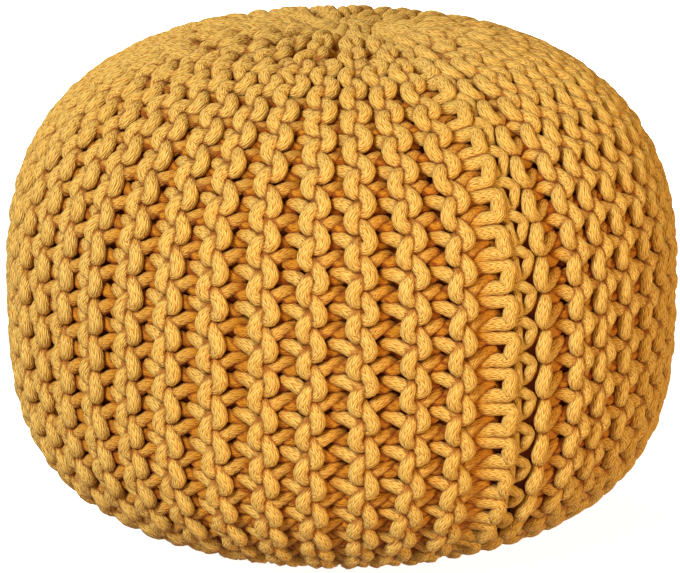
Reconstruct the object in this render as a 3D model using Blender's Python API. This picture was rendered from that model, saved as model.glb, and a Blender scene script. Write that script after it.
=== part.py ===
"""Knitted pouf: one filled cushion in a garter-stitch cover of thick cotton cord.

The cover is a flat piece of knitting bent round into a drum. Its rows run from the middle of
the top to the middle of the base, so the knitted ridges stand like the segments of a pumpkin.
The first and last rows are laced together down one side by a chain of cord, and the two ends
are drawn up to a knot of folds in the middle of the top and of the base.

Metres, +Z up. The pouf stands on its base with the origin at the middle of the resting face,
and the seam is on the front (-Y) side, turned a little to +X.
"""
import bpy
import bmesh
from math import asin, atan2, cos, copysign, exp, hypot, pi, radians, sin

# ---- driving sizes -------------------------------------------------------------------------
POUF_WIDTH = 0.500
WAIST_HEIGHT = 0.182          # height of the widest line above the floor
CROWN_RISE = 0.200            # how far the crown stands above the widest line
CROWN_POWER = 2.63            # 2 is a round shoulder, more is a squarer one
BASE_DROP = 0.186             # the same below the widest line, before the floor flattens it
BASE_POWER = 3.2
DIMPLE_DEPTH = 0.007          # how far the drawn-up middle of the top sinks
DIMPLE_WIDTH = 0.035

RIDGE_COUNT = 46
RIDGE_HEIGHT = 0.011          # from the valley between two ridges to a ridge's crest
FULL_PITCH = 0.024            # ridges closer together than this are lower in proportion
BASE_FADE_HEIGHT = 0.020      # the ridges are pressed flat from here down to the floor

SEAM_ANGLE = radians(30.4)    # round from the front towards +X
RIDGE_PITCH_AT_SEAM = 0.88    # ridges right of the seam are drawn together, against 1 elsewhere
DRAWN_RIDGES = 8.0            # over how many ridges that tightness fades out
FIRST_RIDGE_PITCH = 0.90      # the first and last ridge are single rows beside the lacing
LAST_RIDGE_PITCH = 0.74
CORD_RADIUS = 0.0045
CORD_NECK = 0.80              # where two chain stitches meet, in parts of the cord's radius
SEAM_SINK = 0.0010            # the seam cord lies this far below the ridges' crests
SEAM_CLEARANCE = 0.0004       # between the seam cord and the furrow it lies in
FURROW_MARGIN = 0.0012        # the furrow's half width beyond the cord's radius
CORD_END_GAP = 0.0011         # from the gather's rim to the end of the seam cord

GATHER_RADIUS = 0.020
GATHER_DEPTH = 0.012
GATHER_CLEARANCE = 0.0003
FOLD_COUNT = 16               # folds drawn into each gather

STITCH_COUNT = 26             # stitches from the top to the base, one span of the mesh each
CORD_RINGS_PER_STITCH = 3
CORD_SIDES = 8
COLUMNS_PER_FOLD = 3
MERIDIAN_STEPS = 720

YARN_COLOUR = (0.71, 0.42, 0.085, 1.0)
YARN_ROUGHNESS = 0.9


def clamp(value, low, high):
    return max(low, min(high, value))


# ---- the outer form ------------------------------------------------------------------------
def crest_point(angle):
    """Radius and height on the line over the ridges' crests, from the crown at +90 degrees."""
    up = sin(angle) >= 0.0
    power = CROWN_POWER if up else BASE_POWER
    rise = CROWN_RISE if up else BASE_DROP
    radius = POUF_WIDTH / 2 * abs(cos(angle)) ** (2 / power)
    height = WAIST_HEIGHT + copysign(rise * abs(sin(angle)) ** (2 / power), sin(angle))
    if up:
        height -= DIMPLE_DEPTH * exp(-(radius / DIMPLE_WIDTH) ** 2)
    return radius, max(height, 0.0)


def meridian_stations(count):
    """Evenly spaced stations down the side, each with radius, height and outward normal."""
    angles = [pi / 2 - pi * step / MERIDIAN_STEPS for step in range(MERIDIAN_STEPS + 1)]
    line = [crest_point(angle) for angle in angles]
    line = [point for point in line if point[0] >= GATHER_RADIUS]
    line[0] = (GATHER_RADIUS, line[0][1])
    line[-1] = (GATHER_RADIUS, line[-1][1])
    lengths = [0.0]
    for (r0, z0), (r1, z1) in zip(line, line[1:]):
        lengths.append(lengths[-1] + hypot(r1 - r0, z1 - z0))
    stations = []
    at = 0
    for step in range(count + 1):
        target = lengths[-1] * step / count
        while at < len(line) - 2 and lengths[at + 1] < target:
            at += 1
        (r0, z0), (r1, z1) = line[at], line[at + 1]
        along = (target - lengths[at]) / (lengths[at + 1] - lengths[at])
        span = hypot(r1 - r0, z1 - z0)
        normal = ((z0 - z1) / span, (r1 - r0) / span)
        stations.append((r0 + (r1 - r0) * along, z0 + (z1 - z0) * along, normal))
    stations[0] = (*stations[0][:2], (0.0, 1.0))
    stations[-1] = (*stations[-1][:2], (0.0, -1.0))
    return stations


# ---- where the ridges stand round the pouf ---------------------------------------------------
def ridge_marks():
    """Fractions of the way round from seam to seam at which the valleys between ridges lie."""
    widths = []
    for ridge in range(RIDGE_COUNT):
        tightness = exp(-(ridge / DRAWN_RIDGES) ** 2)
        widths.append(1.0 - (1.0 - RIDGE_PITCH_AT_SEAM) * tightness)
    widths[0] *= FIRST_RIDGE_PITCH
    widths[-1] *= LAST_RIDGE_PITCH
    marks = [0.0]
    for width in widths:
        marks.append(marks[-1] + width / sum(widths))
    return marks


# Across one ridge: how far across it a column stands, and its height in parts of the ridge's
RIDGE_SECTION = (
    (0.00, 0.00),
    (0.27, 0.78),
    (0.50, 1.00),
    (0.73, 0.78),
)
# The last ridge has only its outer row, which the lacing draws over towards the seam
LAST_RIDGE_SECTION = (
    (0.00, 0.00),
    (0.45, 0.40),
    (0.71, 1.00),
    (0.86, 0.78),
)


def cover_columns():
    """Each column's fraction of the way round from the seam, and its height in ridge heights."""
    marks = ridge_marks()
    columns = []
    for start, end in zip(marks, marks[1:]):
        section = LAST_RIDGE_SECTION if end == marks[-1] else RIDGE_SECTION
        for across, raised in section:
            columns.append((start + (end - start) * across, raised))
    columns.append((1.0, 0.0))
    return columns


def on_pouf(angle, radius, height):
    """A point at an angle from the front, counted towards +X."""
    return (radius * sin(angle), -radius * cos(angle), height)


def furrow_half_angle(radius):
    """The furrow that holds the seam cord keeps its width in metres right up to the gathers."""
    return asin((CORD_RADIUS + FURROW_MARGIN) / radius)


def ridge_height_at(radius, height):
    """How far a ridge stands above its valleys at this radius and height on the pouf."""
    pitch = 2 * pi * radius / RIDGE_COUNT
    standing = clamp(height / BASE_FADE_HEIGHT, 0.0, 1.0)
    return RIDGE_HEIGHT * min(1.0, pitch / FULL_PITCH) * standing


# ---- mesh helpers ----------------------------------------------------------------------------
def skin_rings(mesh, rings):
    """Quads between one closed ring of vertices and the next."""
    for upper, lower in zip(rings, rings[1:]):
        count = len(upper)
        for column in range(count):
            following = (column + 1) % count
            mesh.faces.new((upper[column], lower[column], lower[following], upper[following]))


def cap_ring(mesh, ring, middle):
    """A fan of triangles from a ring to a point in its middle."""
    centre = mesh.verts.new(middle)
    for column, vertex in enumerate(ring):
        mesh.faces.new((centre, vertex, ring[(column + 1) % len(ring)]))


def finish_object(mesh, name):
    """Orient and triangulate the closed mesh and put it in the scene with its own material."""
    bmesh.ops.recalc_face_normals(mesh, faces=mesh.faces)
    bmesh.ops.triangulate(mesh, faces=mesh.faces)
    data = bpy.data.meshes.new(name)
    mesh.to_mesh(data)
    mesh.free()
    data.shade_smooth()
    material = bpy.data.materials.new(name)
    material.use_nodes = True
    surface = material.node_tree.nodes["Principled BSDF"]
    surface.inputs["Base Color"].default_value = YARN_COLOUR
    surface.inputs["Roughness"].default_value = YARN_ROUGHNESS
    surface.inputs["Metallic"].default_value = 0.0
    data.materials.append(material)
    piece = bpy.data.objects.new(name, data)
    bpy.context.scene.collection.objects.link(piece)
    return piece


# ---- the pieces ------------------------------------------------------------------------------
def build_cover():
    """The filled cover: a ring of points round the pouf at each station from top to base."""
    columns = cover_columns()
    furrow_depth = SEAM_SINK + 2 * CORD_RADIUS + SEAM_CLEARANCE
    mesh = bmesh.new()
    rings = []
    for radius, height, (out, up) in meridian_stations(STITCH_COUNT):
        half_angle = furrow_half_angle(radius)
        ridge_height = ridge_height_at(radius, height)
        ring = []
        for fraction, raised in columns:
            depth = ridge_height * (1.0 - raised)
            if fraction in (0.0, 1.0):
                depth = max(depth, furrow_depth)
            angle = SEAM_ANGLE + half_angle + (2 * pi - 2 * half_angle) * fraction
            point = on_pouf(angle, radius - out * depth, height - up * depth)
            ring.append(mesh.verts.new(point))
        depth = max(ridge_height, furrow_depth)
        middle = on_pouf(SEAM_ANGLE, radius - out * depth, height - up * depth)
        ring.append(mesh.verts.new(middle))
        rings.append(ring)
    skin_rings(mesh, rings)
    close_recess(mesh, rings[0], -GATHER_DEPTH)
    close_recess(mesh, rings[-1], GATHER_DEPTH)
    return finish_object(mesh, "knitted_cover")


def close_recess(mesh, rim, depth):
    """A round recess inside the rim, which holds a gather."""
    level = rim[len(rim) // 2].co.z + depth
    floor = [mesh.verts.new((vertex.co.x, vertex.co.y, level)) for vertex in rim]
    skin_rings(mesh, [rim, floor])
    cap_ring(mesh, floor, (0.0, 0.0, level))


def build_seam_cord():
    """The lacing chain: a cord with a belly in each stitch, along the furrow's middle."""
    stations = meridian_stations(STITCH_COUNT)
    first_radius = GATHER_RADIUS + CORD_END_GAP
    mesh = bmesh.new()
    rings = []
    for step in range(STITCH_COUNT * CORD_RINGS_PER_STITCH + 1):
        stitch = min(step // CORD_RINGS_PER_STITCH, STITCH_COUNT - 1)
        part = step / CORD_RINGS_PER_STITCH - stitch
        (r0, z0, (out0, up0)), (r1, z1, (out1, up1)) = stations[stitch:stitch + 2]
        out = out0 + (out1 - out0) * part
        up = up0 + (up1 - up0) * part
        sink = SEAM_SINK + CORD_RADIUS
        radius = max(r0 + (r1 - r0) * part - out * sink, first_radius)
        height = z0 + (z1 - z0) * part - up * sink
        at_neck = step % CORD_RINGS_PER_STITCH == 0
        thickness = CORD_RADIUS * (CORD_NECK if at_neck else 1.0)
        ring = []
        for side in range(CORD_SIDES):
            turn = 2 * pi * (side + 0.5) / CORD_SIDES
            lift = thickness * cos(turn)
            sideways = thickness * sin(turn)
            point_radius = radius + out * lift
            angle = SEAM_ANGLE + sideways / point_radius
            ring.append(mesh.verts.new(on_pouf(angle, point_radius, height + up * lift)))
        rings.append(ring)
    skin_rings(mesh, rings)
    for end in (rings[0], rings[-1]):
        mesh.faces.new(end)
    return finish_object(mesh, "seam_cord")


# A gather's rings: radius in parts of its own, depth below its folds' crests, depth of the folds
GATHER_SECTION = (
    (1.00, 0.0036, 0.0000),
    (0.84, 0.0012, 0.0016),
    (0.42, 0.0000, 0.0014),
    (0.13, 0.0030, 0.0004),
)


def build_gather(name, rim_height, facing, proud):
    """The drawn-up folds in a recess; facing is +1 on the top and -1 on the base."""
    own_radius = GATHER_RADIUS - GATHER_CLEARANCE
    crest = rim_height + facing * proud
    back = rim_height - facing * (GATHER_DEPTH - GATHER_CLEARANCE)
    column_count = FOLD_COUNT * COLUMNS_PER_FOLD
    angles = [2 * pi * column / column_count for column in range(column_count)]
    mesh = bmesh.new()
    rings = [[mesh.verts.new(on_pouf(angle, own_radius, back)) for angle in angles]]
    for part, sunk, fold in GATHER_SECTION:
        ring = []
        for angle in angles:
            depth = sunk + fold * (0.5 - 0.5 * cos(FOLD_COUNT * angle))
            ring.append(mesh.verts.new(on_pouf(angle, own_radius * part, crest - facing * depth)))
        rings.append(ring)
    skin_rings(mesh, rings)
    cap_ring(mesh, rings[0], (0.0, 0.0, back))
    pit = crest - facing * (GATHER_SECTION[-1][1] + GATHER_SECTION[-1][2])
    cap_ring(mesh, rings[-1], (0.0, 0.0, pit))
    return finish_object(mesh, name)


def build_pouf():
    for leftover in list(bpy.data.objects):
        bpy.data.objects.remove(leftover)
    build_cover()
    build_seam_cord()
    stations = meridian_stations(STITCH_COUNT)
    build_gather("top_gather", stations[0][1], 1, 0.002)
    build_gather("bottom_gather", stations[-1][1], -1, -0.0006)


build_pouf()
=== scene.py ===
"""The knitted pouf as it looks: every stitch of its cord cover, its lacing, its drawn-up ends.

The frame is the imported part, which holds the pouf's size, its base and its weight.
"""
import math

import bmesh
import bpy
import numpy as np
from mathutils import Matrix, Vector, kdtree


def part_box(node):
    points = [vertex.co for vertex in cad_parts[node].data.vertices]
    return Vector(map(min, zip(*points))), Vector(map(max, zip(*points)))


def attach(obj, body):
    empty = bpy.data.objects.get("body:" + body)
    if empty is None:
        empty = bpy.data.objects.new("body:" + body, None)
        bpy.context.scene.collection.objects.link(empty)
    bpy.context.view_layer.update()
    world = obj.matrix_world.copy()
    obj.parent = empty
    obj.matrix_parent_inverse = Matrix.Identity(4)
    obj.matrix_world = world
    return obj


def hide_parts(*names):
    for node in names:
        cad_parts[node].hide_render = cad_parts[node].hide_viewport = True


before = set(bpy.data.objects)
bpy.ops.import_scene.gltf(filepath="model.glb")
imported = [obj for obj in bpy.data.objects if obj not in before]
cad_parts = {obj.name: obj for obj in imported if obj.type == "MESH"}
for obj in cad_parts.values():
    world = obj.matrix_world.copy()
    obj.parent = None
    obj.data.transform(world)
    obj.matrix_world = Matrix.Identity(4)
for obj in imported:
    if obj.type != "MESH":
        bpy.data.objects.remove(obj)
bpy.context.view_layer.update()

# ---- The pouf's form -----------------------------------------------------------------------------
# A filled drum with round shoulders, pressed flat where it stands. The knitting is drawn over
# it from a gather in the middle of the top to another in the middle of the base.
(low_x, _, _), (high_x, _, _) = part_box("knitted_cover")
POUF_RADIUS = (high_x - low_x) / 2
WAIST_HEIGHT = 0.182
CROWN_RISE = 0.200
CROWN_POWER = 2.63            # above 2 the shoulders are squarer than a half ellipse's
BASE_DROP = 0.183
BASE_POWER = 3.2
DIMPLE_DEPTH = 0.007          # where the drawstring pulls the middle of the top down
DIMPLE_WIDTH = 0.035
ROWS_END_RADIUS = 0.012       # the rows run on under the gathers to here
CREST_POINTS = 1441
NORMAL_SMOOTHING = 7          # points on either side that each normal is averaged over


def crest_line(first_radius):
    """Points down the side over the ridges' crests: distance run, radius, height and normal."""
    angle = np.radians(np.linspace(90.0, -90.0, CREST_POINTS))
    up = np.sin(angle) >= 0.0
    power = np.where(up, CROWN_POWER, BASE_POWER)
    rise = np.where(up, CROWN_RISE, BASE_DROP)
    radius = POUF_RADIUS * np.abs(np.cos(angle)) ** (2 / power)
    height = WAIST_HEIGHT + np.sign(np.sin(angle)) * rise * np.abs(np.sin(angle)) ** (2 / power)
    height -= np.where(up, DIMPLE_DEPTH * np.exp(-(radius / DIMPLE_WIDTH) ** 2), 0.0)
    height = np.maximum(height, 0.0)
    kept = radius >= first_radius
    radius, height = radius[kept], height[kept]
    run = np.concatenate([[0.0], np.cumsum(np.hypot(np.diff(radius), np.diff(height)))])
    slope_r = np.gradient(radius, run)
    slope_z = np.gradient(height, run)
    averaged = 2 * NORMAL_SMOOTHING + 1
    smooth = np.ones(averaged) / averaged
    normal_r = np.convolve(np.pad(-slope_z, NORMAL_SMOOTHING, mode="edge"), smooth, mode="valid")
    normal_z = np.convolve(np.pad(slope_r, NORMAL_SMOOTHING, mode="edge"), smooth, mode="valid")
    size = np.hypot(normal_r, normal_z)
    return run, radius, height, normal_r / size, normal_z / size


class Form:
    """The outer form, asked for by how far a point has run down the side from the top."""

    def __init__(self, first_radius):
        self.run, self.radius, self.height, self.out, self.up = crest_line(first_radius)
        self.length = self.run[-1]

    def at(self, run):
        return [np.interp(run, self.run, line)
                for line in (self.radius, self.height, self.out, self.up)]

    def points(self, run, angle, depth):
        """Points at a depth below the crests; angle is counted from the front towards +X."""
        radius, height, out, up = self.at(run)
        radius = radius - out * depth
        height = height - up * depth
        return np.stack([radius * np.sin(angle), -radius * np.cos(angle), height], axis=-1)


form = Form(ROWS_END_RADIUS)

# ---- The stitch ----------------------------------------------------------------------------------
# Garter stitch in thick soft cord. Each row's loops are drawn through the row before, first to
# the front and then to the back, so two rows make one ridge. The cord finds its own shape: it
# is stiff, keeps its length, and pushes away the cord of the neighbouring loops.
CORD_RADIUS = 0.0051          # where the cord lies slack at the front of a ridge
PULLED_RADIUS = 0.0046        # where it is pulled through to the next ridge
CONTACT = 5.8                 # millimetres between two cords that press on each other
OWN_REACH = 1.5               # in contacts, the cord on either side that does not press on itself
STITCH_WIDTH = 25.0           # millimetres along the ridge
STITCH_CORD = 68.0            # the cord's wish for its own length in one stitch
HEAD_OFFSET = 6.9             # a loop's head stands this far past the middle of its ridge
START_SWAY = 0.16             # the first guess at a loop: its sway along the row, in widths,
START_DEPTH = 8.5             # and how far its head and foot stand from its middle
CORD_POINTS = 36
SMOOTH_POINTS = 144
RELAX_STEPS = 420
STRETCH = 0.3                 # how strongly the cord keeps its length at each step,
STIFFNESS = 0.08              # how strongly it straightens,
PRESS = 0.35                  # how strongly the loops push each other away,
HOLD = 0.2                    # and how strongly its head and foot are held in their places
STEP_SHARE = 0.7
LONGEST_STEP = 0.5
BOW = 2.4                     # the ends of a front arc lie this far in from its middle
DIVE = 5.9                    # and this far down
LOFT = 0.88                   # the knitting is pressed this much flatter by the filling
BOW_REACH = 11.0              # at this distance along the ridge from its middle
TINY = 1e-9                   # keeps a length that is divided by above nothing
MILLIMETRES = 1000            # in a metre


def along_row(loop, steps):
    """The loop's points, moved on by some steps into the next stitch of the row."""
    moved = np.roll(loop, -steps, axis=0)
    if steps > 0:
        moved[len(loop) - steps:, 1] += STITCH_WIDTH
    else:
        moved[:-steps, 1] -= STITCH_WIDTH
    return moved


def other_row(loop, rows, stitches, pitch):
    """The same loop in a neighbouring row, which is turned back to front at every second row."""
    copy = loop.copy()
    copy[:, 0] += rows * pitch / 2
    copy[:, 1] += stitches * STITCH_WIDTH
    if rows % 2:
        copy[:, 2] *= -1
    return copy


def press_apart(loop, pitch):
    """How the loops around a loop push its points away."""
    push = np.zeros_like(loop)
    count = len(loop)
    near = math.ceil(count * CONTACT * OWN_REACH / STITCH_CORD)
    place = np.arange(count)
    for rows in (-2, -1, 0, 1, 2):
        for stitches in (-1, 0, 1):
            apart = loop[:, None, :] - other_row(loop, rows, stitches, pitch)[None, :, :]
            distance = np.linalg.norm(apart, axis=2) + TINY
            overlap = np.where(distance < CONTACT, CONTACT - distance, 0.0)
            if rows == 0:
                steps = np.abs(place[:, None] - place[None, :] - stitches * count)
                overlap = np.where(steps > near, overlap, 0.0)
            touching = (overlap > 0).sum(axis=1, keepdims=True)
            shove = (overlap[:, :, None] * apart / distance[:, :, None]).sum(axis=1)
            push += shove / np.maximum(touching, 1)
    return push


def relaxed_loop(pitch):
    """One stitch at a pitch between ridges, in millimetres: across, along the row, outwards."""
    turn = 2 * np.pi * np.arange(CORD_POINTS) / CORD_POINTS
    head = HEAD_OFFSET
    foot = -(pitch / 2 + HEAD_OFFSET)
    middle, reach = (head + foot) / 2, (head - foot) / 2
    loop = np.stack([
        middle - reach * np.cos(turn),
        STITCH_WIDTH * (turn / (2 * np.pi) - 0.5) + START_SWAY * STITCH_WIDTH * np.sin(2 * turn),
        -START_DEPTH * np.cos(turn),
    ], axis=1)
    half = CORD_POINTS // 2
    for _ in range(RELAX_STEPS):
        step = along_row(loop, 1) - loop
        length = np.linalg.norm(step, axis=1, keepdims=True)
        pull = (length - STITCH_CORD / CORD_POINTS) * step / length * STRETCH
        move = pull - np.roll(pull, 1, axis=0)
        move -= STIFFNESS * (along_row(loop, 2) + along_row(loop, -2) + 6 * loop
                             - 4 * along_row(loop, 1) - 4 * along_row(loop, -1))
        move += PRESS * press_apart(loop, pitch)
        move[half, 0] += (head - loop[half, 0]) * HOLD
        move[0, 0] += (foot - loop[0, 0]) * HOLD
        size = np.linalg.norm(move, axis=1, keepdims=True)
        loop = loop + STEP_SHARE * move * np.minimum(1.0, LONGEST_STEP / np.maximum(size, TINY))
        # a stitch is the same read either way along the row, and from the back as from the front
        mirrored = np.roll(loop[::-1], 1, axis=0) * (1, -1, 1)
        mirrored[0] = (loop[0, 0], -STITCH_WIDTH / 2, loop[0, 2])
        loop = (loop + mirrored) / 2
        turned = np.roll(loop, -half, axis=0)
        turned[half:, 1] += STITCH_WIDTH
        turned[:, 1] -= STITCH_WIDTH / 2
        loop = (loop + np.stack([2 * middle - turned[:, 0], turned[:, 1], -turned[:, 2]], 1)) / 2
    return drawn_in(loop, half)


def drawn_in(loop, half):
    """The relaxed loop with the ends of both its arcs pulled in and down, on a smooth line."""
    top = loop[:, 2].max()
    for middle, side in ((half, 1), (0, -1)):
        off = loop[:, 1] - loop[middle, 1]
        off = np.mod(off + STITCH_WIDTH / 2, STITCH_WIDTH) - STITCH_WIDTH / 2
        share = np.clip(side * loop[:, 2] / top, 0.0, 1.0) * (off / BOW_REACH) ** 2
        loop[:, 0] -= side * BOW * share
        loop[:, 2] -= side * DIVE * share
    loop[:, 2] *= LOFT
    return smooth_stitch(loop, SMOOTH_POINTS, 1, STITCH_WIDTH)


def smooth_stitch(points, count, axis, advance):
    """A repeating line rounded off and given more points; along one axis it moves on."""
    trend = np.zeros(points.shape)
    trend[:, axis] = advance * np.arange(len(points)) / len(points)
    waves = np.fft.rfft(points - trend, axis=0)
    smooth = np.fft.irfft(waves, count, axis=0) * count / len(points)
    smooth[:, axis] += advance * np.arange(count) / count
    return smooth


# Loops for ridges from wide apart to drawn close together
LOOP_PITCHES = (46.0, 41.0, 36.0, 31.0, 26.0, 21.0, 16.0)
loops = np.array([relaxed_loop(pitch) for pitch in LOOP_PITCHES])


def loop_at(pitch, part):
    """Across, along and outwards for pitches and parts of a stitch, between the relaxed loops."""
    part = np.mod(part, 1.0)
    ring = np.arange(SMOOTH_POINTS + 1) / SMOOTH_POINTS
    place = np.interp(-np.asarray(pitch), [-wide for wide in LOOP_PITCHES],
                      np.arange(len(LOOP_PITCHES)))
    wider = np.minimum(place.astype(int), len(LOOP_PITCHES) - 2)
    blend = place - wider
    found = []
    for axis in range(3):
        lines = []
        for loop in loops:
            line = np.append(loop[:, axis], loop[0, axis] + (STITCH_WIDTH if axis == 1 else 0))
            lines.append(np.interp(part, ring, line))
        lines = np.array(lines)
        rank = np.arange(len(part))
        found.append(lines[wider, rank] * (1 - blend) + lines[wider + 1, rank] * blend)
    return found


# The last row's loops hold no others, so the lacing pulls them square with straight legs
SQUARE_LOOP = (               # part of the way from foot to head, millimetres along, lift
    (0.00, -12.3, -1.00),
    (0.14, -10.6, -0.85),
    (0.42, -9.2, -0.35),
    (0.72, -8.9, 0.10),
    (0.95, -8.8, 0.65),
    (1.04, -5.2, 1.08),
    (1.00, 0.0, 1.12),
    (1.01, 4.2, 1.05),
    (0.94, 7.0, 0.62),
    (0.74, 6.6, 0.12),
    (0.48, 7.4, -0.30),
    (0.18, 10.4, -0.80),
)
square_loop = smooth_stitch(np.array(SQUARE_LOOP), SMOOTH_POINTS, 1, STITCH_WIDTH)


def square_loop_at(pitch, part):
    """Across, along and outwards in the last row."""
    ring = np.arange(SMOOTH_POINTS + 1) / SMOOTH_POINTS
    ends = (square_loop[0, 0], square_loop[0, 1] + STITCH_WIDTH, square_loop[0, 2])
    way, along, lift = [np.interp(np.mod(part, 1.0), ring, np.append(line, end))
                        for line, end in zip(square_loop.T, ends)]
    across = HEAD_OFFSET - (1 - way) * (pitch / 2 + 2 * HEAD_OFFSET)
    return across, along, lift * loops[0, :, 2].max()


# ---- The rows of knitting ------------------------------------------------------------------------
# The cover is a flat piece of garter stitch bent round into a drum, its rows standing upright.
# Towards the gathers the ridges crowd, and every second one is pushed down between the others.
RIDGE_COUNT = 46
STITCH_COUNT = 26
SEAM_ANGLE = math.radians(30.4)
RIDGE_PITCH_AT_SEAM = 0.88    # the ridges by the lacing take this share of the others' width,
DRAWN_RIDGES = 8.0            # and get back to it over about so many ridges
FIRST_RIDGE_PITCH = 0.9       # the first ridge and the last have one row each, so they are
LAST_RIDGE_PITCH = 0.82       # narrower
SEAM_HALF_WIDTH = 0.002
SEAM_WIDEST = 0.9             # the sine of its half angle near the gathers
EDGE_SHIFTS = {               # the ridges by the lacing lie over to one side
    0: 0.0049,
    1: 0.0050,
    RIDGE_COUNT - 1: -0.0026,
}
SAMPLES_PER_STITCH = 23
FRONT_DENSITY = 0.35          # the points crowd where the loops show
PUSHED_UNDER = 0.013          # how deep a crowded-out ridge sinks
SLACK_ENDS = 0.10             # makes the stitches near the gathers longer than at the waist
DRAWN_UP = 0.009              # the middle stitches lie this far up towards the top
SAG = 4.5                     # millimetres by which the loops' fronts hang down, backs go up
LEGS_LIFTED = 1.4             # and by which their lower legs come out and upper legs go in
LEGS_REACH = 1.15             # a move of the legs fades away towards this lift, at the front
LEGS_OVER = 0.8               # the first row's legs lie this far out, the other row's in
HEADS_OVER = 3.2              # the other row's front arcs start this far out, over those legs
HEADS_LEAN = 1.5              # the first row's heads slant by this much each way
HEADS_DRAWN_ACROSS = 9.5      # millimetres by which the last row draws over, up and out
HEADS_DRAWN_ALONG = 8.0       # the heads of the row before it
HEADS_DRAWN_OUT = 2.5
SLACK_AT_MIDDLE = 0.12        # the cord is pulled tight at its deepest and slack at the front,
SLACK_WITH_LIFT = 1.25        # by how far it has come out
LOWER_LEGS_SLACK = 0.7        # lower legs lie freer, as thick as the fronts and as pale, without the painted valley shade
OTHER_ROW_SLACK = 0.5         # but half as much in the row behind
ACROSS_WANDER = 0.55          # how unevenly the stitches are pulled: millimetres across,
ALONG_WANDER = 0.035          # parts of a stitch along the row,
OUT_WANDER = 0.45             # millimetres outwards,
LEAN_WANDER = 0.7             # and millimetres of slant
ROW_SWAY = 1.2                # millimetres by which a whole row sways from side to side
SWAY_PER_STITCH = 0.43
SWAY_PER_RIDGE = 2.1
CROWDED_DISORDER = 1.8        # this much more uneven where the ridges crowd
CROWDED_RADIUS = 0.20
CLOSED_WIDTH = 0.10           # a ridge that has sunk still takes this share of its width
EDGE_SHIFTS_FULL = 0.2        # the edge ridges' shifts are full from this radius outwards
RNG = np.random.default_rng(47)

ridge_number = np.arange(RIDGE_COUNT)
ridge_width = 1.0 - (1.0 - RIDGE_PITCH_AT_SEAM) * np.exp(-(ridge_number / DRAWN_RIDGES) ** 2)
ridge_width[0] *= FIRST_RIDGE_PITCH
ridge_width[-1] *= LAST_RIDGE_PITCH
CROWDED_OUT = (               # which ridges sink, and between which radii
    (lambda ridge: ridge % 2 == 1, 0.122, 0.078),
    (lambda ridge: ridge % 4 == 2, 0.060, 0.034),
)


def smooth_step(value):
    """From 0 up to 1 as the value does, with a soft start and end."""
    value = np.clip(value, 0.0, 1.0)
    return value * value * (3 - 2 * value)


def standing(ridge, radius):
    """1 where a ridge stands full width, down to 0 where its neighbours have closed over it."""
    share = np.ones_like(radius)
    for sinks, starts, gone in CROWDED_OUT:
        if sinks(ridge):
            share = share * smooth_step((radius - gone) / (starts - gone))
    return share


def ridge_places(radius):
    """Every ridge's angle from the seam, and how wide it stands, at each radius."""
    shares = np.array([standing(ridge, radius) for ridge in ridge_number])
    widths = ridge_width[:, None] * (CLOSED_WIDTH + (1 - CLOSED_WIDTH) * shares)
    half_seam = np.arcsin(np.minimum(SEAM_WIDEST, SEAM_HALF_WIDTH / radius))
    widths = widths / widths.sum(axis=0) * (2 * np.pi - 2 * half_seam)
    middles = half_seam + np.cumsum(widths, axis=0) - widths / 2
    for ridge, shift in EDGE_SHIFTS.items():
        middles[ridge] += shift * np.minimum(radius / EDGE_SHIFTS_FULL, 1.0) / radius
    return middles, shares


def stitch_run(stitch):
    """How far down the side a stitch lies; the stitches near the gathers are longer."""
    part = np.asarray(stitch) / STITCH_COUNT
    bow = part * 2 - 1
    eased = bow * (1 + SLACK_ENDS * bow * bow) / (1 + SLACK_ENDS)
    return form.length * (eased + 1) / 2 - DRAWN_UP * (1 - bow * bow)


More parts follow.
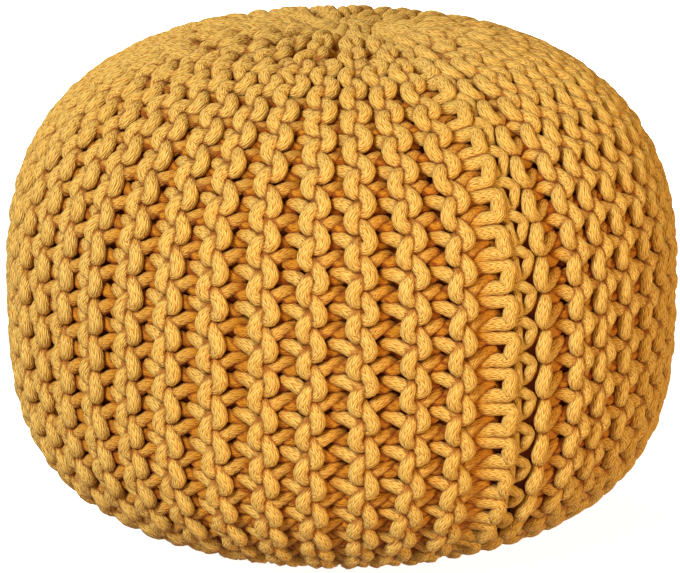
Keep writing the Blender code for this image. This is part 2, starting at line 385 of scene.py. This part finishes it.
def row_line(ridge, behind):
    """The middle line and the radii of one row's cord, from the top gather to the base gather.

    The first row of a ridge has its heads at the front; the one behind it has its feet there.
    """
    last = ridge == RIDGE_COUNT - 1
    stitches = STITCH_COUNT - 1 if behind or last else STITCH_COUNT
    samples = np.arange(SAMPLES_PER_STITCH * stitches) / SAMPLES_PER_STITCH
    within = samples % 1.0
    part = within + FRONT_DENSITY / (2 * np.pi) * np.sin(2 * np.pi * within)
    part = part + (0.5 if behind else 0.0)
    stitch = np.floor(samples) + 0.5
    # a first guess at the place down the side gives the distance to the neighbouring ridge's
    # middle, and so the loop's shape
    run = stitch_run(stitch + part - 0.5)
    radius = form.at(run)[0]
    angles, shares = ridge_places(radius)
    neighbour = ridge + (1 if behind else -1)
    if 0 <= neighbour < RIDGE_COUNT:
        pitch_mm = MILLIMETRES * radius * np.abs(angles[neighbour] - angles[ridge])
    else:
        pitch_mm = np.full(len(radius), LOOP_PITCHES[-1])
    shape = square_loop_at if last else loop_at
    across, along, outward = shape(np.clip(pitch_mm, LOOP_PITCHES[-1], LOOP_PITCHES[0]), part)
    across = across * np.minimum(1.0, pitch_mm / LOOP_PITCHES[-1])
    if behind:
        across = across + np.clip(pitch_mm, 0, LOOP_PITCHES[0]) / 2
        outward = -outward
    along = along + np.floor(part) * STITCH_WIDTH + (STITCH_WIDTH / 2 if last else 0.0)
    deepest_reach = np.interp(-pitch_mm, [-wide for wide in LOOP_PITCHES],
                              [loop[:, 2].max() for loop in loops])
    # no two stitches are pulled quite alike, least of all where they crowd
    knots = np.arange(STITCH_COUNT + 2) - 0.5
    crowding = 1.0 + CROWDED_DISORDER * (1.0 - smooth_step(radius / CROWDED_RADIUS))
    wander = [crowding * np.interp(stitch + part - 0.5, knots,
                                   RNG.normal(0, size, STITCH_COUNT + 2))
              for size in (ACROSS_WANDER, ALONG_WANDER, OUT_WANDER)]
    lean = RNG.normal(0.0 if behind or last else -HEADS_LEAN, LEAN_WANDER, stitches)
    lean = lean[np.floor(samples).astype(int)]
    sway = ROW_SWAY * np.sin(samples * SWAY_PER_STITCH + ridge * SWAY_PER_RIDGE)
    turning = np.sin(2 * np.pi * within)
    across = across + wander[0] + sway
    across = across + lean * turning
    if behind and ridge == RIDGE_COUNT - 2:
        deep = np.clip(-outward / deepest_reach, 0.0, 1.0)
        across = across + HEADS_DRAWN_ACROSS * deep
        along = along - HEADS_DRAWN_ALONG * deep
        outward = outward + HEADS_DRAWN_OUT * deep
    lift = np.clip(outward / deepest_reach, -1.0, 1.0)
    legs = (1 - lift ** 2) * np.clip(LEGS_REACH - lift, 0.0, 1.0)
    if not last:
        along = along + SAG * lift
        outward = outward - LEGS_LIFTED * legs * turning
    outward = outward + LEGS_OVER * legs * (-1 if behind else 1)
    if behind:
        outward = outward + HEADS_OVER * np.clip(lift, 0.0, 1.0) * np.clip(turning, 0.0, 1.0)
    along = along + wander[1] * STITCH_WIDTH
    outward = outward + wander[2]
    run = stitch_run(stitch + along / STITCH_WIDTH)
    radius = form.at(run)[0]
    depth = CORD_RADIUS + (deepest_reach - outward) / MILLIMETRES
    # the slack that thickens the cord also sets its painted shade: deeper, tighter cord is painted
    # darker
    slack = SLACK_AT_MIDDLE + outward / deepest_reach * SLACK_WITH_LIFT
    free_leg = legs if last else legs * np.clip(-turning, 0.0, 1.0)
    slack = slack + LOWER_LEGS_SLACK * free_leg * (OTHER_ROW_SLACK if behind else 1.0)
    slack = np.clip(slack, 0.0, 1.0)
    radii = PULLED_RADIUS + (CORD_RADIUS - PULLED_RADIUS) * slack
    depth = depth + PUSHED_UNDER * (1 - shares[ridge])
    angle = angles[ridge] + across / MILLIMETRES / np.maximum(radius, ROWS_END_RADIUS)
    run = np.clip(run, 0.0, form.length)
    return form.points(run, SEAM_ANGLE + angle, np.maximum(depth, CORD_RADIUS)), radii


CORD_SIDES = 8
CONTACT_SHADE_REACH = 0.004           # the painted shade between cords starts where another cord comes nearer than this
OWN_SAMPLES = 6               # the cord on either side that does not press on itself
CONTACT_SHADE_OPEN_RADIUS = 0.10    # nearer the gathers than this the painted shade between the cords thins out
CONTACT_SHADE_AT_GATHERS = 0.5
NOT_A_ROW = -10 ** 6          # the start of a cord that is not among the knitting's rows
STEEP = (0.3, 0.2, 1.0)       # a direction that no cord starts in
STRIP_EDGE = 0.06             # a strip of cord lies this far inside its share of the bake map,
STRIP_WIDTH = 0.88
STRIP_END = 0.004             # and this far from the map's ends
STRIP_LENGTH = 0.992
CAP_REACH = 0.001             # and so do the small rounds of the cord's cut ends
CAP_WIDTH = 0.1


class Knitting:
    """The middle lines of all the rows, asked for how closely they press on a cord's surface, which
    sets the painted shade between cords.
    """

    def __init__(self, rows):
        self.starts = np.cumsum([0] + [len(line) for line, _ in rows])
        self.points = np.concatenate([line for line, _ in rows])
        self.radii = np.concatenate([radii for _, radii in rows])
        self.tree = kdtree.KDTree(len(self.points))
        for number, point in enumerate(self.points):
            self.tree.insert(point, number)
        self.tree.balance()

    def pressing(self, middle, ring, own):
        """For a ring of points round a cord's middle: 1 where another cord touches and shade is
        painted, 0 if free.
        """
        found = self.tree.find_range(middle, 3 * CORD_RADIUS)
        others = [number for _, number, _ in found if abs(number - own) > OWN_SAMPLES]
        if not others:
            return np.zeros(len(ring))
        apart = np.linalg.norm(ring[:, None, :] - self.points[others][None, :, :], axis=2)
        gap = (apart - self.radii[others]).min(axis=1)
        return np.clip(1 - gap / CONTACT_SHADE_REACH, 0.0, 1.0)


def cord_mesh(name, lines, radii, strips_per_line, starts=None, closed=False):
    """One mesh of round cords along lines of points.

    Its maps are the braid's, how slack the cord is and how closely others press on it (both set
    painted shade), and one of neat strips.
    The lines' starts are their first points' numbers in the knitting, if they are its rows.
    """
    vertices, faces, braid, state, bake = [], [], [], [], []
    starts = starts or [NOT_A_ROW] * len(lines)
    strip_count = len(lines) * strips_per_line
    around = 2 * np.pi * np.arange(CORD_SIDES) / CORD_SIDES
    for number, (line, radius, start) in enumerate(zip(lines, radii, starts)):
        line = np.asarray(line)
        count = len(line)
        if closed:
            tangent = np.roll(line, -1, axis=0) - np.roll(line, 1, axis=0)
        else:
            tangent = np.gradient(line, axis=0)
        tangent /= np.linalg.norm(tangent, axis=1, keepdims=True)
        run = np.concatenate([[0.0], np.cumsum(np.linalg.norm(np.diff(line, axis=0), axis=1))])
        side = np.cross(tangent[0], STEEP)
        # the painted valley shade follows how slack, and so how thick, the cord is
        slackness = 1 - (1 - radius / max(radius)) / (1 - PULLED_RADIUS / CORD_RADIUS)
        base = len(vertices)
        contact_shade = []
        for rank, (point, direction, size) in enumerate(zip(line, tangent, radius)):
            side = side - direction * side.dot(direction)
            side = side / np.linalg.norm(side)
            other = np.cross(direction, side)
            ring = point + size * (np.cos(around)[:, None] * side + np.sin(around)[:, None] * other)
            # painted shade where another cord lies close, weaker near the gathers
            close = knitting.pressing(point, ring, start + rank)
            opened = smooth_step(math.hypot(point[0], point[1]) / CONTACT_SHADE_OPEN_RADIUS)
            contact_shade.append(close * (CONTACT_SHADE_AT_GATHERS + (1 - CONTACT_SHADE_AT_GATHERS) * opened))
            vertices.extend(map(tuple, ring))
        spans = count if closed else count - 1
        spans_per_strip = math.ceil(spans / strips_per_line)
        for span in range(spans):
            here = base + span * CORD_SIDES
            there = base + (span + 1) % count * CORD_SIDES
            strip, place = divmod(span, spans_per_strip)
            row = number * strips_per_line + strip
            end_run = run[span + 1] if span + 1 < count else run[-1] * count / (count - 1)
            after = (span + 1) % count
            for corner in range(CORD_SIDES):
                following = (corner + 1) % CORD_SIDES
                faces.append((here + corner, here + following, there + following, there + corner))
                sides = (corner / CORD_SIDES, (corner + 1) / CORD_SIDES)
                braid.extend([(sides[0], run[span]), (sides[1], run[span]),
                              (sides[1], end_run), (sides[0], end_run)])
                state.extend([(slackness[span], contact_shade[span][corner]),
                              (slackness[span], contact_shade[span][following]),
                              (slackness[after], contact_shade[after][following]),
                              (slackness[after], contact_shade[after][corner])])
                across = [(row + STRIP_EDGE + STRIP_WIDTH * value) / strip_count for value in sides]
                along = [STRIP_END + STRIP_LENGTH * value / spans_per_strip
                         for value in (place, place + 1)]
                bake.extend([(along[0], across[0]), (along[0], across[1]),
                             (along[1], across[1]), (along[1], across[0])])
        if not closed:
            for end in (base, base + (count - 1) * CORD_SIDES):
                ring = tuple(range(end, end + CORD_SIDES))
                faces.append(ring if end != base else ring[::-1])
                braid.extend([(0.5, 0.0)] * CORD_SIDES)
                state.extend([(0.5, 1.0)] * CORD_SIDES)
                row = number * strips_per_line
                bake.extend([(CAP_REACH + CAP_REACH * math.cos(turn),
                              (row + 0.5 + CAP_WIDTH * math.sin(turn)) / strip_count)
                             for turn in around])
    data = bpy.data.meshes.new(name)
    data.from_pydata(vertices, [], faces)
    for title, corners in (("Braid", braid), ("State", state), ("OFBake", bake)):
        layer = data.uv_layers.new(name=title)
        layer.data.foreach_set("uv", np.array(corners, dtype=float).ravel())
    data.shade_smooth()
    piece = bpy.data.objects.new(name, data)
    bpy.context.scene.collection.objects.link(piece)
    return piece


class Shade:
    """A material's socket, on which arithmetic adds Math nodes."""

    def __init__(self, tree, socket):
        self.tree = tree
        self.socket = socket

    def add(self, kind, settings=None, inputs=None, output=0):
        """Any other node: its type, its settings, and the values or links of its sockets."""
        node = self.tree.nodes.new(kind)
        for name, value in (settings or {}).items():
            setattr(node, name, value)
        for name, value in (inputs or {}).items():
            if isinstance(value, Shade):
                self.tree.links.new(value.socket, node.inputs[name])
            else:
                node.inputs[name].default_value = value
        return Shade(self.tree, node.outputs[output])

    def maths(self, operation, *values):
        return self.add("ShaderNodeMath", {"operation": operation}, dict(enumerate(values)))

    def __add__(self, other):
        return self.maths("ADD", self, other)

    def __radd__(self, other):
        return self.maths("ADD", other, self)

    def __sub__(self, other):
        return self.maths("SUBTRACT", self, other)

    def __rsub__(self, other):
        return self.maths("SUBTRACT", other, self)

    def __mul__(self, other):
        return self.maths("MULTIPLY", self, other)

    def __rmul__(self, other):
        return self.maths("MULTIPLY", other, self)

    def __truediv__(self, other):
        return self.maths("DIVIDE", self, other)

    def __pow__(self, other):
        return self.maths("POWER", self, other)

    def absolute(self):
        return self.maths("ABSOLUTE", self)

    def floor(self):
        return self.maths("FLOOR", self)

    def fraction(self):
        return self.maths("FRACT", self)

    def wave(self):
        """One rounded hump, from 0 up to 1 and back, over each whole step of the value."""
        return self.maths("SINE", self.fraction() * math.pi)

    def blend(self, first, second):
        """The first colour where this is 0, the second where it is 1."""
        return self.add("ShaderNodeMix", {"data_type": "RGBA"}, {0: self, 6: first, 7: second}, 2)

    def part(self, axis):
        return self.add("ShaderNodeSeparateXYZ", None, {0: self}, "XYZ".index(axis))


def new_material(name):
    """A material with a Principled surface: the material, the surface and a first Shade."""
    material = bpy.data.materials.new(name)
    material.use_nodes = True
    tree = material.node_tree
    surface = tree.nodes["Principled BSDF"]
    return material, surface, Shade(tree, None)


MUSTARD = (0.72, 0.385, 0.034, 1.0)
MUSTARD_PALE = (0.78, 0.61, 0.190, 1.0)         # painted highlight where the yarn stands up out of the braid, mixed with random paler tone
STRAND_SHADE = (0.33, 0.078, 0.001, 1.0)        # painted shade down between its strands and in the chains' eyes
MUSTARD_CONTACT_SHADE = (0.24, 0.048, 0.0004, 1.0)    # painted shade where one cord lies on another
DEEP_CORD_SHADE = (0.58, 0.250, 0.014, 1.0)           # painted shade where the cord is pulled tight, deep between the ridges
STRANDS_AROUND = 9            # chains of small Vs round the cord
CHAIN_LENGTH = 0.0054         # along the cord from one V to the next
CHAIN_STEP = 0.37             # each chain's Vs lie this part of a V past its neighbour's
V_SLANT = 0.8                 # a V's legs end this far past its point, in lengths of a V
UNEVEN_ACROSS = 0.5           # how far the yarn strays, in chains across
UNEVEN_ALONG = 1.2            # and in Vs along
UNEVEN_NOISE = 170.0
FIBRE_NOISE = 900.0
FLECK_NOISE = 240.0
PATCH_NOISE = 14.0
CONTACT_SHADE_STARTS = 0.52         # from free, 0, to touching, 1: the painted shade between two cords starts
CONTACT_SHADE_FULL = 0.96           # here and is full here
CONTACT_SHADE_DARKEST = 0.95
CONTACT_SHADE_FRONT_LIGHT = 0.22    # the painted shade between two cords is this much lighter at the front
BRAID_HEIGHT = 0.0010


def braided_cotton(name):
    """Soft cotton cord knitted from yarn: chains of small Vs run along it, side by side.

    Where it is pulled tight, deep between the ridges, it is painted darker and more orange: painted
    shade.
    """
    material, surface, start = new_material(name)
    place = start.add("ShaderNodeUVMap", {"uv_map": "Braid"})
    state = start.add("ShaderNodeUVMap", {"uv_map": "State"})
    slack = state.part("X")
    where = start.add("ShaderNodeTexCoord", output=3)
    unevenness = start.add("ShaderNodeTexNoise", {"noise_dimensions": "3D"},
                           {"Vector": where, "Scale": UNEVEN_NOISE, "Detail": 1.0})
    column = place.part("X") * STRANDS_AROUND + (unevenness - 0.5) * UNEVEN_ACROSS
    across = column.fraction()
    fold = (across - 0.5).absolute() * 2.0
    leg = (column * 2.0).wave()
    along = place.part("Y") / CHAIN_LENGTH + fold * V_SLANT + (unevenness - 0.5) * UNEVEN_ALONG
    along = along + column.floor() * CHAIN_STEP
    strand = along.wave() ** 0.7 * (0.40 + leg ** 0.7 * 0.60)
    fibre = start.add("ShaderNodeTexNoise", {"noise_dimensions": "3D"},
                      {"Vector": where, "Scale": FIBRE_NOISE, "Detail": 3.0, "Roughness": 0.65})
    patch = start.add("ShaderNodeTexNoise", {"noise_dimensions": "3D"},
                      {"Vector": where, "Scale": PATCH_NOISE, "Detail": 2.0})
    fleck = start.add("ShaderNodeTexNoise", {"noise_dimensions": "3D"},
                      {"Vector": where, "Scale": FLECK_NOISE, "Detail": 1.0})
    # painted shade between the strands, most of all at the chain's eyes, but less where the flecks
    # fall
    crevice = (1.0 - strand) ** 1.6
    eye = (1.0 - fold) ** 1.5 * (1.0 - along.wave()) ** 2.0
    holes = start.add("ShaderNodeMapRange", None, {0: fleck, 1: 0.46, 2: 0.60, 3: 0.30, 4: 0.95})
    # paler on the raised strands, a painted highlight, and at random with the fibre and patch noise
    highlight_and_tone = strand * 0.60 + fibre * 0.40 + patch * 0.35 - 0.20
    # painted shade on the tight cord deep between the ridges
    light = slack.blend(DEEP_CORD_SHADE, highlight_and_tone.blend(MUSTARD, MUSTARD_PALE))
    colour = (crevice * holes * 0.8).blend(light, STRAND_SHADE)
    colour = (eye * 0.9).blend(colour, STRAND_SHADE)
    # painted shade where another cord lies close against this one
    contact_shade = start.add("ShaderNodeMapRange", {"interpolation_type": "SMOOTHSTEP"},
                        {0: state.part("Y"), 1: CONTACT_SHADE_STARTS, 2: CONTACT_SHADE_FULL,
                         3: 0.0, 4: CONTACT_SHADE_DARKEST})
    contact_shade = contact_shade * (1.0 - slack * CONTACT_SHADE_FRONT_LIGHT) * (0.7 + fibre * 0.6)
    colour = contact_shade.blend(colour, MUSTARD_CONTACT_SHADE)
    tree = material.node_tree
    tree.links.new(colour.socket, surface.inputs["Base Color"])
    rough = 0.86 + crevice * 0.08 + fibre * 0.05
    tree.links.new(rough.socket, surface.inputs["Roughness"])
    bump = start.add("ShaderNodeBump", None,
                     {"Strength": 0.75, "Distance": BRAID_HEIGHT, "Height": strand + fibre * 0.5})
    tree.links.new(bump.socket, surface.inputs["Normal"])
    surface.inputs["Sheen Weight"].default_value = 0.04
    surface.inputs["Sheen Roughness"].default_value = 0.6
    surface.inputs["Sheen Tint"].default_value = (1.0, 0.75, 0.35, 1.0)
    surface.inputs["Specular IOR Level"].default_value = 0.2
    return material


# the first ridge and the last have only the one row that the lacing leaves free
rows = [row_line(0, True)]
for ridge in range(1, RIDGE_COUNT - 1):
    rows.append(row_line(ridge, False))
    rows.append(row_line(ridge, True))
rows.append(row_line(RIDGE_COUNT - 1, False))
knitting = Knitting(rows)

knit_cotton = braided_cotton("knitted cotton cord")
ROWS_PER_PIECE = 6
for first in range(0, len(rows), ROWS_PER_PIECE):
    lines, radii = zip(*rows[first:first + ROWS_PER_PIECE])
    starts = knitting.starts[first:first + len(lines)].tolist()
    name = f"knitted_ridges_{first // ROWS_PER_PIECE + 1:02d}"
    ridges = cord_mesh(name, lines, radii, 4, starts)
    ridges.data.materials.append(knit_cotton)
    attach(ridges, "root")
    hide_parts("knitted_cover")

# ---- The filled body under the knitting ----------------------------------------------------------
# The stuffed inner that fills the cover out. It only shows as the dark ground of the gaps
# between the loops: plain woven cotton of the cord's hue, painted far darker as the shade in the
# gaps.
BODY_DEPTH = 0.0222           # below the ridges' crests
BODY_ENDS = 0.018             # it closes this far down the side from where the rows start
BODY_COLUMNS = 96
BODY_RINGS = 64
# painted shade: the inner is coloured much darker than the cord to darken the gaps
BODY_SHADE_DARK = (0.30, 0.066, 0.003, 1.0)
BODY_SHADE_LIGHT = (0.44, 0.110, 0.005, 1.0)

body_mesh = bmesh.new()
body_rings = []
for run in np.linspace(BODY_ENDS, form.length - BODY_ENDS, BODY_RINGS):
    turns = 2 * np.pi * np.arange(BODY_COLUMNS) / BODY_COLUMNS
    ring = form.points(np.full(BODY_COLUMNS, run), turns, np.full(BODY_COLUMNS, BODY_DEPTH))
    body_rings.append([body_mesh.verts.new(point) for point in ring])
for upper, lower in zip(body_rings, body_rings[1:]):
    for column in range(BODY_COLUMNS):
        following = (column + 1) % BODY_COLUMNS
        body_mesh.faces.new((upper[column], lower[column], lower[following], upper[following]))
for ring in (body_rings[0], body_rings[-1]):
    body_mesh.faces.new(ring)
bmesh.ops.recalc_face_normals(body_mesh, faces=body_mesh.faces)
body_data = bpy.data.meshes.new("filled_body")
body_mesh.to_mesh(body_data)
body_mesh.free()
body_data.shade_smooth()
filled_body = bpy.data.objects.new("filled_body", body_data)
bpy.context.scene.collection.objects.link(filled_body)

cloth, surface, start = new_material("inner cotton cloth")
where = start.add("ShaderNodeTexCoord", output=3)
weave = start.add("ShaderNodeTexNoise", None, {"Vector": where, "Scale": 600.0, "Detail": 2.0})
patches = start.add("ShaderNodeTexNoise", None, {"Vector": where, "Scale": 40.0})
gap_shade = (weave * 0.5 + patches * 0.5).blend(BODY_SHADE_DARK, BODY_SHADE_LIGHT)
cloth.node_tree.links.new(gap_shade.socket, surface.inputs["Base Color"])
rough = 0.85 + weave * 0.1
cloth.node_tree.links.new(rough.socket, surface.inputs["Roughness"])
bump = start.add("ShaderNodeBump", None, {"Strength": 0.4, "Distance": 0.0006, "Height": weave})
cloth.node_tree.links.new(bump.socket, surface.inputs["Normal"])
body_data.materials.append(cloth)
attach(filled_body, "root")
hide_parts("knitted_cover")

# ---- The lacing ----------------------------------------------------------------------------------
# One cord that closes the cover down its side. It comes out from behind each stitch of the last
# row, turns down along the furrow and tucks in under itself, which makes a chain.
LACING_POINTS = 16            # in each stitch
LACING_RADIUS = 0.0038
LACING_FULL_RADIUS = 0.2      # nearer the gathers than this its swings narrow
LACING_CHAIN = (              # part of a stitch down, millimetres past the seam, and deep
    (0.22, -8.0, 13.0),
    (0.28, -2.5, 8.8),
    (0.34, 3.0, 7.4),
    (0.52, 6.8, 8.0),
    (0.80, 6.4, 9.2),
    (1.04, 2.5, 13.5),
)
LACING_BACK = (               # the strand that runs straight down behind the chain
    (0.00, -3.5, 9.5),
    (0.25, -3.0, 12.5),
    (0.50, -2.0, 13.5),
    (0.75, -4.0, 9.5),
)


def lacing_line(strand):
    """One strand of the lacing down the furrow, from what it does in each stitch."""
    swings = smooth_stitch(np.array(strand), LACING_POINTS, 0, 1.0)
    samples = np.arange((STITCH_COUNT - 1) * LACING_POINTS)
    down, across, deep = swings[samples % LACING_POINTS].T
    run = stitch_run(down + samples // LACING_POINTS)
    radius = form.at(run)[0]
    narrowed = np.minimum(radius / LACING_FULL_RADIUS, 1.0)
    angle = SEAM_ANGLE + across / MILLIMETRES * narrowed / radius
    return form.points(run, angle, deep / MILLIMETRES)


lines = [lacing_line(LACING_CHAIN), lacing_line(LACING_BACK)]
lacing = cord_mesh("seam_lacing", lines, [np.full(len(line), LACING_RADIUS) for line in lines], 8)
lacing.data.materials.append(braided_cotton("lacing cotton cord"))
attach(lacing, "root")
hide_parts("seam_cord")

# ---- The gathers ---------------------------------------------------------------------------------
# At the middle of the top and of the base a drawstring runs through the rows' end loops and
# pulls them into a tight rosette of cord.
GATHER_LOOPS = 11
GATHER_POINTS = 16            # in each loop
GATHER_REACH = 0.0135         # the loops swing this far from the middle, in and out by the next
GATHER_SWING = 0.0075
GATHER_TWIST = 0.10
GATHER_SUNK = 0.0048          # how far below the rosette's top the cord's middle lies
GATHER_DIP = 0.0022           # and how much farther where a loop ends or turns in
GATHER_OVER = 0.0014          # one leg of each loop lies this far up, the other down
GATHER_CORD = 0.0040
KNOT_REACH = 0.0042
KNOT_SUNK = 0.0058
KNOT_WAVE = 0.0012
KNOT_CORD = 0.0038
KNOT_POINTS = 40


def gather(name, node, middle, facing):
    """A rosette of cord loops round a knot, in the middle of the top (+1) or the base (-1)."""
    turn = np.arange(GATHER_LOOPS * GATHER_POINTS) / (GATHER_LOOPS * GATHER_POINTS) * 2 * np.pi
    petal = np.cos(GATHER_LOOPS * turn)
    reach = GATHER_REACH + GATHER_SWING * petal
    lift = -GATHER_SUNK - GATHER_DIP * petal ** 2 + GATHER_OVER * np.sin(GATHER_LOOPS * turn)
    twist = turn + GATHER_TWIST * np.sin(GATHER_LOOPS * turn)
    petals = np.stack([reach * np.cos(twist), reach * np.sin(twist), middle + facing * lift], 1)
    small = np.arange(KNOT_POINTS) / KNOT_POINTS * 2 * np.pi
    knot_height = middle + facing * (-KNOT_SUNK + KNOT_WAVE * np.sin(2 * small))
    knot = np.stack([KNOT_REACH * np.cos(small), KNOT_REACH * np.sin(small), knot_height], 1)
    lines = [petals, knot]
    radii = [np.full(len(petals), GATHER_CORD), np.full(len(knot), KNOT_CORD)]
    piece = cord_mesh(name, lines, radii, 2, None, True)
    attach(piece, "root")
    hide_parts(node)
    return piece


drawn_cotton = braided_cotton("drawn cotton cord")
_, (_, _, top_gather_height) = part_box("top_gather")
(_, _, base_gather_height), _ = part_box("bottom_gather")
for piece in (gather("top_rosette", "top_gather", top_gather_height, 1),
              gather("base_rosette", "bottom_gather", base_gather_height, -1)):
    piece.data.materials.append(drawn_cotton)

# ---- Floor, light and camera ---------------------------------------------------------------------
# A plain white floor, soft light from the upper left and front, and a camera a little above.
FLOOR_REACH = 6
FLOOR_HEIGHT = -0.0005        # a hair under the base
FLOOR_WHITE = (0.93, 0.93, 0.93, 1.0)
FLOOR_GLOW = 0.92             # lifts the floor to a clean white
WARM_LIGHT = (1.0, 0.66, 0.32)
BACK_LIGHT = (1.0, 0.82, 0.55)
ROOM_LIGHT = (1.0, 0.58, 0.20, 1.0)

floor_corners = [(x * FLOOR_REACH, y * FLOOR_REACH, 0)
                 for x, y in ((-1, -1), (1, -1), (1, 1), (-1, 1))]
floor_data = bpy.data.meshes.new("floor")
floor_data.from_pydata(floor_corners, [], [(0, 1, 2, 3)])
floor = bpy.data.objects.new("floor", floor_data)
floor.location.z = FLOOR_HEIGHT
bpy.context.scene.collection.objects.link(floor)
paint, surface, start = new_material("white floor")
surface.inputs["Base Color"].default_value = FLOOR_WHITE
surface.inputs["Roughness"].default_value = 0.9
surface.inputs["Emission Color"].default_value = (1.0, 1.0, 1.0, 1.0)
surface.inputs["Emission Strength"].default_value = FLOOR_GLOW
floor_data.materials.append(paint)
floor.visible_diffuse = False      # the white floor throws no light back up at the pouf


def soft_light(name, place, aim, energy, size, colour=(1.0, 1.0, 1.0)):
    """A square lamp that is turned towards a point."""
    data = bpy.data.lights.new(name, "AREA")
    data.color = colour
    data.energy = energy
    data.size = size
    lamp = bpy.data.objects.new(name, data)
    lamp.location = place
    lamp.rotation_euler = (Vector(aim) - Vector(place)).to_track_quat("-Z", "Y").to_euler()
    bpy.context.scene.collection.objects.link(lamp)


MIDDLE = (0.0, 0.0, WAIST_HEIGHT)
soft_light("key", (-1.2, -2.2, 1.6), MIDDLE, 86.0, 0.8)
soft_light("fill", (1.8, -1.5, 0.24), MIDDLE, 30.0, 0.5, WARM_LIGHT)
soft_light("front fill", (0.0, -2.4, 0.35), MIDDLE, 11.0, 0.8, WARM_LIGHT)
soft_light("back", (-0.9, 2.1, 1.5), MIDDLE, 46.0, 1.0, BACK_LIGHT)
soft_light("sweep", (0.0, 1.3, 1.5), (0.0, 4.0, 0.0), 60.0, 1.5)

world = bpy.data.worlds.new("studio")
world.use_nodes = True
room = world.node_tree.nodes["Background"]
room.inputs["Color"].default_value = ROOM_LIGHT
room.inputs["Strength"].default_value = 0.25
bpy.context.scene.world = world
bpy.context.scene.view_settings.view_transform = "Standard"

CAMERA_ELEVATION = math.radians(15.0)
CAMERA_DISTANCE = 2.0
IMAGE_WIDTH, IMAGE_HEIGHT = 680, 573
POUF_MIDDLE_PIXEL = (341.7, 281.3)
PIXELS_PER_RADIUS = 333.5
SENSOR_WIDTH = 36.0
camera_data = bpy.data.cameras.new("camera")
camera_data.sensor_width = SENSOR_WIDTH
focal_pixels = PIXELS_PER_RADIUS / POUF_RADIUS * CAMERA_DISTANCE
camera_data.lens = focal_pixels * SENSOR_WIDTH / IMAGE_WIDTH
camera_data.shift_x = (IMAGE_WIDTH / 2 - POUF_MIDDLE_PIXEL[0]) / IMAGE_WIDTH
camera_data.shift_y = (POUF_MIDDLE_PIXEL[1] - IMAGE_HEIGHT / 2) / IMAGE_WIDTH
camera = bpy.data.objects.new("camera", camera_data)
camera.location = (0.0, -CAMERA_DISTANCE * math.cos(CAMERA_ELEVATION),
                   WAIST_HEIGHT + CAMERA_DISTANCE * math.sin(CAMERA_ELEVATION))
camera.rotation_euler = (math.pi / 2 - CAMERA_ELEVATION, 0.0, 0.0)
bpy.context.scene.collection.objects.link(camera)
bpy.context.scene.camera = camera
